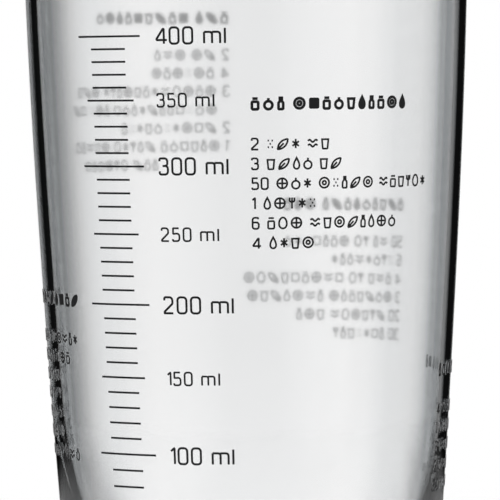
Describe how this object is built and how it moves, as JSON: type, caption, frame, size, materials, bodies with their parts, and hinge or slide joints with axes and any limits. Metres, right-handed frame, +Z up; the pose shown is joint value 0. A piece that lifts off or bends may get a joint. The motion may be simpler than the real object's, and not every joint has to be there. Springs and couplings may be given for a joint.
{
  "type": "salad dressing shaker bottle",
  "caption": "Tapered glass shaker bottle with a printed measuring scale, strainer insert, screw lid, pouring spout under a hinged cap, and a twist lock ring.",
  "frame": {"origin": "on the table, under the middle of the beaker's foot", "axes": "+Z up along the beaker's axis, -Y the front that the picture shows, and the spout towards -X"},
  "size_m": [0.0808, 0.0808, 0.181],
  "materials": {
    "clear_glass": "clear, polished",
    "print_ink": "screen print",
    "pale_plastic": "satin",
    "sieve_steel": "satin",
    "silicone": "matt, translucent",
    "dark_plastic": "fine grain",
    "band_steel": "brushed round the axis",
    "spout_steel": "turned, bright"
  },
  "bodies": {
    "beaker": {"beaker": "clear_glass", "scale_marks": "print_ink", "recipe_marks": "print_ink"},
    "strainer": {"sieve_frame": "pale_plastic", "sieve_disc": "sieve_steel", "lid_seal": "silicone"},
    "lid": {"lid_top": "dark_plastic", "trim_band": "band_steel", "pour_spout": "spout_steel", "spout_gasket": "silicone", "spout_clip": "spout_steel", "hinge_pin": "spout_steel", "pin_caps": "spout_steel"},
    "cap": {"flip_cap": "dark_plastic", "cap_inlay": "band_steel", "spout_plug": "silicone", "vent_plug": "silicone"},
    "ring": {"lock_ring": "dark_plastic"}
  },
  "joints": [
    {"name": "lid_rise", "type": "slide", "parent": "beaker", "child": "strainer", "axis": [0, 0, 1], "range_m": [0, 0.0181]},
    {"name": "lid_turn", "type": "hinge", "parent": "strainer", "child": "lid", "pos_m": [0, 0, 0.155], "axis": [0, 0, 1], "range_deg": [0, 810]},
    {"name": "flip_open", "type": "hinge", "parent": "lid", "child": "cap", "pos_m": [0.00972, 0, 0.174], "axis": [0, 1, 0], "range_deg": [0, 115]},
    {"name": "lock_twist", "type": "hinge", "parent": "lid", "child": "ring", "pos_m": [0, 0, 0.1644], "axis": [0, 0, -1], "range_deg": [0, 28]}
  ],
  "couplings": [
    {"joint": "lid_rise", "follows": "lid_turn", "m_per_rad": 0.0012732}
  ]
}
